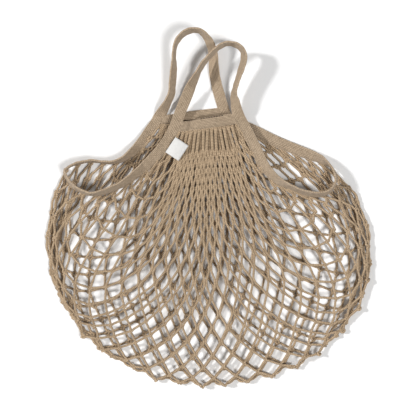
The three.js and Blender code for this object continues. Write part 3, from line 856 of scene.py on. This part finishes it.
def new_object(name, vertices, faces, corner_uvs, material):
    """A smooth mesh object with its UVs in metres."""
    mesh = bpy.data.meshes.new(name)
    mesh.from_pydata(vertices.tolist(), [], faces.tolist())
    layer = mesh.uv_layers.new(name="threads")
    layer.data.foreach_set("uv", np.asarray(corner_uvs, np.float32).ravel())
    mesh.polygons.foreach_set("use_smooth", np.ones(len(faces), bool))
    mesh.materials.append(material)
    mesh.update()
    made = bpy.data.objects.new(name, mesh)
    bpy.context.scene.collection.objects.link(made)
    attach(made, "root")
    return made


def loft_faces(rings, sides, offset=0):
    """Quads between rings of vertices, and the ring and side of each corner."""
    ring, side = np.meshgrid(np.arange(rings - 1), np.arange(sides), indexing="ij")
    ring, side = ring.ravel(), side.ravel()
    corners = ((ring, side), (ring, side + 1), (ring + 1, side + 1), (ring + 1, side))
    faces = np.stack([offset + r * sides + s % sides for r, s in corners], 1)
    places = np.stack([np.stack([r, s], 1) for r, s in corners], 1)
    return faces, places


def tubes(name, paths, radius, stitch, sides, material):
    """One mesh of knitted cords along paths, thinner and thicker from ring to ring as loops are."""
    count, rings = paths.shape[:2]
    along = unit(np.gradient(paths, axis=1))
    side = unit(np.cross(along, np.array([0.0, 0.0, 1.0])))
    up = np.cross(side, along)
    angle = 2 * np.pi * np.arange(sides) / sides
    size = radius * np.where(np.arange(rings) % 2, THIN_LOOP, THICK_LOOP)
    circle = side[:, :, None] * np.cos(angle)[:, None] + up[:, :, None] * np.sin(angle)[:, None]
    vertices = paths[:, :, None] + circle * size[:, None, None]
    vertices[..., 2] = np.maximum(vertices[..., 2], 0.0)
    faces, uvs = [], []
    for n in range(count):
        quads, places = loft_faces(rings, sides, n * rings * sides)
        faces.append(quads)
        uvs.append(places * np.array([stitch / 2, 1 / sides]))
    faces, uvs = np.concatenate(faces), np.concatenate(uvs)
    return new_object(name, vertices.reshape(-1, 3), faces, uvs, material)


def band_section(half_width, half_thick):
    """A tape's section: flat, with soft rounded edges, as steps to the side and off the face."""
    angle = 2 * np.pi * (np.arange(BAND_CORNERS) + 0.5) / BAND_CORNERS
    cos, sin = np.cos(angle), np.sin(angle)
    across = np.sign(cos) * np.abs(cos) ** EDGE_POWER * half_width
    return across, np.sign(sin) * np.abs(sin) ** FACE_POWER * half_thick


def ripples(rng, arcs, sideways, depth):
    """Soft wrinkles across a tape."""
    total = np.zeros(np.broadcast(arcs, sideways).shape)
    for wave in WRINKLE_WAVES:
        slant, phase = rng.uniform(-WRINKLE_SLANT, WRINKLE_SLANT), rng.uniform(0, 2 * np.pi)
        deep = depth * (wave / WRINKLE_WAVES[0]) ** WRINKLE_FALL
        total += np.sin(2 * np.pi * (arcs + slant * sideways) / wave + phase) * deep
    return total


def on_band(middle, side, face, arcs, cloth, seed, across, off):
    """Points of a wrinkled tape at steps to its side and off its face."""
    wave = ripples(np.random.default_rng(seed), arcs[:, None], across[None, :], cloth.wrinkle)
    points = middle[:, None] + side[:, None] * across[None, :, None]
    points = points + face[:, None] * (off[None, :] + wave)[..., None]
    points[..., 2] = np.maximum(points[..., 2], 0.0)
    return points


def face_up(middle, side):
    """Upward faces of a tape along its middle line."""
    face = unit(np.cross(np.gradient(middle, axis=0), side))
    return face * np.sign(face[:, 2:3])


def band(name, middle, side, face, arcs, cloth, material, node, seed):
    """A tape lofted through middles, with its own side and face directions."""
    across, off = band_section(cloth.tape_width / 2, cloth.tape_thick / 2)
    vertices = on_band(middle, side, face, arcs, cloth, seed, across, off)
    sides = len(across)
    faces, places = loft_faces(len(arcs), sides)
    wrapped = np.append(across, across[0])
    uvs = np.stack([arcs[places[..., 0]], wrapped[places[..., 1]]], 2)
    made = new_object(name, vertices.reshape(-1, 3), faces, uvs, material)
    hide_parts(node)


def sewn_line(name, points, face, cloth, material, slot, thread=None):
    """A row of sewn stitches along a line of points at even steps."""
    thread = thread or cloth.thread
    gaps = way_along(points)
    pitch = cloth.stitch + cloth.stitch_gap
    angle = 2 * np.pi * np.arange(STITCH_CORNERS) / STITCH_CORNERS
    vertices, faces, uvs = [], [], []
    for start in np.arange(0.5 * pitch, gaps[-1] - pitch, pitch):
        at = start + cloth.stitch * np.array([0.0, 0.5, 1.0])
        spots = np.stack([np.interp(at, gaps, points[:, axis]) for axis in range(3)], 1)
        out = unit(np.array([np.interp(at[1], gaps, face[:, axis]) for axis in range(3)]))
        beside = np.cross(unit(spots[2] - spots[0]), out)
        ring = beside * np.cos(angle)[:, None] + out * np.sin(angle)[:, None]
        quads, places = loft_faces(len(STITCH_RINGS), STITCH_CORNERS, len(vertices))
        for share, size, sink in STITCH_RINGS:
            centre = between(spots[0], spots[2], share) + out * sink * thread
            loop = centre + ring * size * thread / 2
            loop[:, 2] = np.maximum(loop[:, 2], 0.0)
            vertices.extend(loop)
        faces.append(quads)
        uvs.append(places * np.array([cloth.stitch, 1 / STITCH_CORNERS]))
    faces, uvs = np.concatenate(faces), np.concatenate(uvs)
    return new_object(name, np.array(vertices), faces, uvs, material)


# Materials


def math_node(tree, operation, first, second=None):
    """A maths node fed by sockets or numbers."""
    node = tree.nodes.new("ShaderNodeMath")
    node.operation = operation
    for socket, value in zip(node.inputs, (first, second)):
        if isinstance(value, bpy.types.NodeSocket):
            tree.links.new(value, socket)
        elif value is not None:
            socket.default_value = value
    return node.outputs[0]


def ridges(tree, value):
    """0 to 1 and back over each whole step of a value."""
    turned = math_node(tree, "MULTIPLY", value, math.pi)
    return math_node(tree, "ABSOLUTE", math_node(tree, "SINE", turned))


def sum_of(tree, first, share, second, other):
    """first times its share, and second times the other one."""
    parts = (math_node(tree, "MULTIPLY", part, by) for part, by in ((first, share), (second, other)))
    return math_node(tree, "ADD", *parts)


def new_group(name, inputs, outputs):
    """A shader node group with float inputs and outputs."""
    group = bpy.data.node_groups.new(name, "ShaderNodeTree")
    kind = "NodeSocketFloat"
    for label, default in inputs:
        socket = group.interface.new_socket(name=label, in_out="INPUT", socket_type=kind)
        socket.default_value = default
    for label in outputs:
        group.interface.new_socket(name=label, in_out="OUTPUT", socket_type=kind)
    return group, group.nodes.new("NodeGroupInput"), group.nodes.new("NodeGroupOutput")


def thread_place(tree):
    """The two thread coordinates, in metres along and across."""
    uv = tree.nodes.new("ShaderNodeUVMap")
    uv.uv_map = "threads"
    parts = tree.nodes.new("ShaderNodeSeparateXYZ")
    tree.links.new(uv.outputs[0], parts.inputs[0])
    return parts.outputs[0], parts.outputs[1]


def speckle(tree, scale, detail=4.0):
    """Noise over the object, about its middle value."""
    place = tree.nodes.new("ShaderNodeTexCoord")
    noise = tree.nodes.new("ShaderNodeTexNoise")
    noise.inputs["Detail"].default_value = detail
    tree.links.new(place.outputs["Object"], noise.inputs["Vector"])
    if isinstance(scale, bpy.types.NodeSocket):
        tree.links.new(scale, noise.inputs["Scale"])
    else:
        noise.inputs["Scale"].default_value = scale
    return noise.outputs["Fac"]


def weave_group():
    """Plain weave: Height for a bump and Tone for the colour, with threads per metre each way."""
    inputs = (("Along", 1100.0), ("Across", 900.0), ("Mottle", 90.0))
    tree, given, out = new_group("Plain weave", inputs, ("Height", "Tone"))
    along, across = thread_place(tree)
    warp = math_node(tree, "MULTIPLY", across, given.outputs["Across"])
    shift = math_node(tree, "MULTIPLY", math_node(tree, "FLOOR", warp), 0.5)
    weft = math_node(tree, "ADD", math_node(tree, "MULTIPLY", along, given.outputs["Along"]), shift)
    low_knuckle = math_node(tree, "ADD", math_node(tree, "MULTIPLY", ridges(tree, weft), 0.6), 0.4)
    height = math_node(tree, "MULTIPLY", ridges(tree, warp), low_knuckle)
    tone = sum_of(tree, height, 0.55, speckle(tree, given.outputs["Mottle"]), 0.6)
    tree.links.new(height, out.inputs["Height"])
    tree.links.new(tone, out.inputs["Tone"])
    return tree


def knit_group():
    """A knitted chain: slanted loops along a cord, for a bump and for the colour."""
    inputs = (("Loops", 476.0), ("Slant", 1.0), ("Mottle", 60.0))
    tree, given, out = new_group("Knitted chain", inputs, ("Height", "Tone"))
    along, around = thread_place(tree)
    turn = math_node(tree, "FRACT", math_node(tree, "MULTIPLY", around, 2.0))
    fold = math_node(tree, "ABSOLUTE", math_node(tree, "SUBTRACT", turn, 0.5))
    loop = ridges(tree, sum_of(tree, along, given.outputs["Loops"], fold, given.outputs["Slant"]))
    tone = sum_of(tree, loop, 0.5, speckle(tree, given.outputs["Mottle"]), 0.7)
    tree.links.new(loop, out.inputs["Height"])
    tree.links.new(tone, out.inputs["Tone"])
    return tree


# Where the dark and light tones lie on a pattern, how strong its bump is, and a cloth's gloss
TONE_STOPS = (0.15, 0.85)
BUMP_STRENGTH = 0.7
CLOTH_GLOSS = 0.2

# The patterns that cloths share
PATTERNS = {"Plain weave": weave_group, "Knitted chain": knit_group}

# Each cloth's colours, its pattern and that one's numbers, its roughness, depth of bump and sheen
CLOTHS = {
    "Cotton tape": (
        "tape", "Plain weave", {"Along": 340.0, "Across": 560.0, "Mottle": 330.0}, 0.92, 0.0012, 0.15,
    ),
    # Real stitches whose near-black colour is painted shadow, the dark gap above the front header
    "Painted shadow thread": ("thread", "Plain weave", {"Along": 2600.0, "Across": 2600.0}, 0.9, 0.0001, 0.15),
    "Cotton cord": ("cord", "Knitted chain", {"Loops": 476.0, "Mottle": 160.0}, 0.95, 0.0011, 0.15),
    "Label cloth": (
        "label", "Plain weave", {"Along": 2600.0, "Across": 2600.0, "Mottle": 200.0}, 0.85, 0.0001, 0.05,
    ),
}


def cloth_material(name):
    """A matt cloth, made when it is first asked for.

    Its pattern's tone runs between two colours, and the pattern's height makes the bump.
    """
    if name in bpy.data.materials:
        return bpy.data.materials[name]
    colour, pattern, values, roughness, depth, sheen = CLOTHS[name]
    material = bpy.data.materials.new(name)
    material.use_nodes = True
    tree = material.node_tree
    shader = tree.nodes["Principled BSDF"]
    shader.inputs["Roughness"].default_value = roughness
    shader.inputs["Sheen Weight"].default_value = sheen
    shader.inputs["Specular IOR Level"].default_value = CLOTH_GLOSS
    node = tree.nodes.new("ShaderNodeGroup")
    node.node_tree = bpy.data.node_groups.get(pattern) or PATTERNS[pattern]()
    for label, value in values.items():
        node.inputs[label].default_value = value
    ramp = tree.nodes.new("ShaderNodeValToRGB")
    for stop, place, tone in zip(ramp.color_ramp.elements, TONE_STOPS, ("dark", "light")):
        stop.position = place
        stop.color = (*getattr(bpy.context.scene.bag_colours, f"{colour}_{tone}"), 1)
    bump = tree.nodes.new("ShaderNodeBump")
    bump.inputs["Strength"].default_value = BUMP_STRENGTH
    bump.inputs["Distance"].default_value = depth
    tree.links.new(node.outputs["Tone"], ramp.inputs["Fac"])
    tree.links.new(ramp.outputs["Color"], shader.inputs["Base Color"])
    tree.links.new(node.outputs["Height"], bump.inputs["Height"])
    tree.links.new(bump.outputs["Normal"], shader.inputs["Normal"])
    return material


# Operators


class BAG_OT_net(bpy.types.Operator):
    """Knits the net"""

    bl_idname = "bag.net"
    bl_label = "Net"

    def execute(self, context):
        scene = context.scene
        shape, net, cloth = scene.bag_shape, scene.bag_net, scene.bag_cloth
        sheet = NetSheet(shape, net, TapeRoute(shape, cloth))
        points = settled(net, *laid_out(net, sheet))
        half = points.shape[1] // 2
        points[:, :half, 2] = np.maximum(points[:, :half, 2], FRONT_LOW * net.cord)
        points[:, half:, 2] = np.maximum(points[:, half:, 2], BACK_LOW * net.cord)
        deep = (np.arange(net.chains) // 2) % RIB_GROUP == RIB_GROUP - 1
        points[deep, 1 : net.links, 2] -= RIB_DEPTH * net.cord
        paths = resampled(with_joins(net, points), net.stitch / 2)
        material = cloth_material("Cotton cord")
        for n, some in enumerate(np.split(paths, NET_PIECES), 1):
            name, radius = f"net_chains_{n}", net.cord / 2
            made = tubes(name, some, radius, net.stitch, net.sides, material)
            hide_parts("net_body")
        return {"FINISHED"}


class BAG_OT_tapes(bpy.types.Operator):
    """Weaves the tape that binds the mouths and makes the handles, with its seams"""

    bl_idname = "bag.tapes"
    bl_label = "Tapes"

    def execute(self, context):
        scene = context.scene
        cloth = scene.bag_cloth
        route = TapeRoute(scene.bag_shape, cloth)
        material = cloth_material("Cotton tape")
        stretches = (
            ("binding_left", route.front_left, route.back_left, "cotton_tape"),
            ("handle_back", route.back_left, route.back_right, "cotton_tape_back"),
            ("binding_right", route.back_right, route.front_right, "cotton_tape"),
            ("handle_front", route.front_right, route.length, "cotton_tape"),
        )
        for name, start, end, slot in stretches:
            arcs = np.linspace(start, end, int((end - start) / cloth.station))
            middle, side, face = route.at(arcs)
            band(f"tape_{name}", middle, side, face, arcs, cloth, material, name, TAPE_SEED)
            if name.startswith("binding"):
                for label, hand in (("outer", 1), ("inner", -1)):
                    place = np.array([route.half - cloth.seam_in]), np.array([hand * cloth.tape_thick / 2])
                    line = on_band(middle, side, face, arcs, cloth, TAPE_SEED, *place)[:, 0]
                    sewn_line(f"seam_{name}_{label}", line, face * hand, cloth, material, slot)
        return {"FINISHED"}


class BAG_OT_headers(bpy.types.Operator):
    """Weaves the two headers that the net is gathered into"""

    bl_idname = "bag.headers"
    bl_label = "Headers"

    def execute(self, context):
        scene = context.scene
        cloth = scene.bag_cloth
        route = TapeRoute(scene.bag_shape, cloth)
        material = cloth_material("Cotton tape")
        ends = (
            ("header_front", route.front_left, route.front_right, -1, "cotton_tape"),
            ("header_back", route.back_left, route.back_right, 1, "cotton_tape_back"),
        )
        for name, left, right, up, slot in ends:
            corners = []
            for arc, to in ((left, up), (right, -up)):
                reach = [arc + to * route.half, arc - to * route.half]
                corners.append(route.beside(reach, -HEADER_TUCK))
            share = np.linspace(0, 1, HEADER_STEPS)[:, None]
            upper, lower = (between(*ends, share) for ends in zip(*corners))
            rests = name == "header_back"
            if rests:
                upper[:, 2] = lower[:, 2] = cloth.tape_thick / 2
            middle = (upper + lower) / 2
            side = unit(lower - upper)
            face = face_up(middle, side)
            if not rests:
                # a dent near the left end, where the header is pushed together
                dent = cloth.dent * bell(share, *DENT)
                middle = middle - face * dent
                side = unit(side + face * dent / route.half)
                face = face_up(middle, side)
            arcs = share[:, 0] * np.linalg.norm(middle[-1] - middle[0])
            band(f"band_{name}", middle, side, face, arcs, cloth, material, name, HEADER_SEED)
            edges = np.array([route.half - cloth.seam_in, cloth.seam_in / 3 - route.half])
            off = np.full(2, cloth.tape_thick / 2)
            lines = on_band(middle, side, face, arcs, cloth, HEADER_SEED, edges, off)
            sewn_line(f"seam_{name}", lines[:, 0], face, cloth, material, slot)
            if not rests:
                # a row of stitches coloured near-black along the upper edge paints the shadow in the gap
                # between the headers
                shown = slice(HEADER_STEPS // 3, HEADER_STEPS * 5 // 6)
                dark = cloth_material("Painted shadow thread")
                at = lines[shown, 1], face[shown]
                sewn_line("painted_shadow_header_top", *at, cloth, dark, slot, cloth.painted_shadow_thread)
        return {"FINISHED"}


class BAG_OT_label(bpy.types.Operator):
    """Sews on the small blank label"""

    bl_idname = "bag.label"
    bl_label = "Label"

    def execute(self, context):
        scene = context.scene
        cloth = scene.bag_cloth
        route = TapeRoute(scene.bag_shape, cloth)
        low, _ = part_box("label")
        middle, side, _ = route.at([route.front_left + cloth.label_from])
        out = unit(side[0] * (1, 1, 0))
        along = np.array([-out[1], out[0], 0.0])
        base = np.array([*middle[0][:2], low[2]]) + out * (route.half - LABEL_TUCK)
        spots = np.linspace(-0.5, 0.5, LABEL_STEPS), np.linspace(0, 1, LABEL_STEPS)
        spread, reach = (place.ravel() for place in np.meshgrid(*spots, indexing="ij"))
        swell, arch, droop = LABEL_CURL
        curl = swell * np.sin(np.pi * reach) + arch * np.cos(np.pi * spread) - droop * reach**2
        sheet = base + along * (spread * cloth.label_long)[:, None]
        sheet += out * (reach * cloth.label_short)[:, None]
        sheet[:, 2] += curl
        vertices = np.vstack([sheet, sheet + (0, 0, cloth.label_thick)])
        grid = np.arange(len(sheet)).reshape(LABEL_STEPS, LABEL_STEPS)
        corners = grid[:-1, :-1], grid[1:, :-1], grid[1:, 1:], grid[:-1, 1:]
        quads = np.stack(corners, -1).reshape(-1, 4)
        rim = np.concatenate([grid[:, 0], grid[-1, 1:], grid[-2::-1, -1], grid[0, -2:0:-1]])
        ahead = np.roll(rim, -1)
        walls = np.stack([rim, ahead, ahead + len(sheet), rim + len(sheet)], 1)
        faces = np.concatenate([quads[:, ::-1], quads + len(sheet), walls])
        flat = np.stack([spread * cloth.label_long, reach * cloth.label_short], 1)
        uvs = np.vstack([flat, flat])[faces]
        made = new_object("label_cloth", vertices, faces, uvs, cloth_material("Label cloth"))
        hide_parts("label")
        return {"FINISHED"}


class BAG_OT_stage(bpy.types.Operator):
    """Sets the floor, the lights and the camera"""

    bl_idname = "bag.stage"
    bl_label = "Stage"

    def execute(self, context):
        scene = context.scene
        stage = scene.bag_stage
        mesh = bpy.data.meshes.new("floor")
        half = stage.floor / 2
        corners = [(-half, -half, 0), (half, -half, 0), (half, half, 0), (-half, half, 0)]
        mesh.from_pydata(corners, [], [(0, 1, 2, 3)])
        floor = bpy.data.objects.new("floor", mesh)
        scene.collection.objects.link(floor)
        white = bpy.data.materials.new("Floor")
        white.use_nodes = True
        shader = white.node_tree.nodes["Principled BSDF"]
        shader.inputs["Base Color"].default_value = (*stage.floor_colour, 1)
        shader.inputs["Roughness"].default_value = 0.9
        shader.inputs["Specular IOR Level"].default_value = 0.1
        mesh.materials.append(white)

        suns = (
            ("key", stage.key, stage.key_angle, stage.key_height, stage.shadow_way),
            ("fill", stage.fill, stage.fill_angle, stage.fill_height, stage.fill_way),
        )
        for name, strength, angle, height, way in suns:
            sun = bpy.data.objects.new(name, bpy.data.lights.new(name, "SUN"))
            sun.data.energy = strength
            sun.data.angle = angle
            sun.rotation_euler = (0, math.pi / 2 - height, math.atan2(-way[1], -way[0]))
            scene.collection.objects.link(sun)

        world = bpy.data.worlds.new("studio")
        world.use_nodes = True
        background = world.node_tree.nodes["Background"]
        background.inputs["Color"].default_value = (1, 1, 1, 1)
        background.inputs["Strength"].default_value = stage.sky
        scene.world = world

        camera = bpy.data.objects.new("camera", bpy.data.cameras.new("camera"))
        camera.location = (0, stage.view_y, stage.camera_height)
        camera.data.lens = camera.data.sensor_width * stage.camera_height / stage.view_width
        scene.collection.objects.link(camera)
        scene.camera = camera
        scene.view_settings.view_transform = "Standard"
        return {"FINISHED"}


class BAG_PT_panel(bpy.types.Panel):
    """The bag's buttons and sizes"""

    bl_idname = "BAG_PT_panel"
    bl_label = "String Shopping Bag"
    bl_space_type = "VIEW_3D"
    bl_region_type = "UI"
    bl_category = "Bag"

    def draw(self, context):
        column = self.layout.column()
        for operator in OPERATORS:
            column.operator(operator.bl_idname)
        for name in SETTINGS:
            group = getattr(context.scene, name)
            box = self.layout.box()
            for field in group.__annotations__:
                box.prop(group, field)


SETTINGS = {
    "bag_shape": BagShape,
    "bag_net": NetSettings,
    "bag_cloth": ClothSettings,
    "bag_colours": BagColours,
    "bag_stage": StageSettings,
}
OPERATORS = (BAG_OT_net, BAG_OT_tapes, BAG_OT_headers, BAG_OT_label, BAG_OT_stage)


def register():
    for group in SETTINGS.values():
        bpy.utils.register_class(group)
    for cls in (*OPERATORS, BAG_PT_panel):
        bpy.utils.register_class(cls)
    for name, group in SETTINGS.items():
        setattr(bpy.types.Scene, name, PointerProperty(type=group))


def unregister():
    for name in SETTINGS:
        delattr(bpy.types.Scene, name)
    for cls in (BAG_PT_panel, *reversed(OPERATORS)):
        bpy.utils.unregister_class(cls)
    for group in SETTINGS.values():
        bpy.utils.unregister_class(group)


def main():
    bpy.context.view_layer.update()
    register()
    bpy.ops.bag.net()
    bpy.ops.bag.tapes()
    bpy.ops.bag.headers()
    bpy.ops.bag.label()
    bpy.ops.bag.stage()


if __name__ == "__main__":
    main()
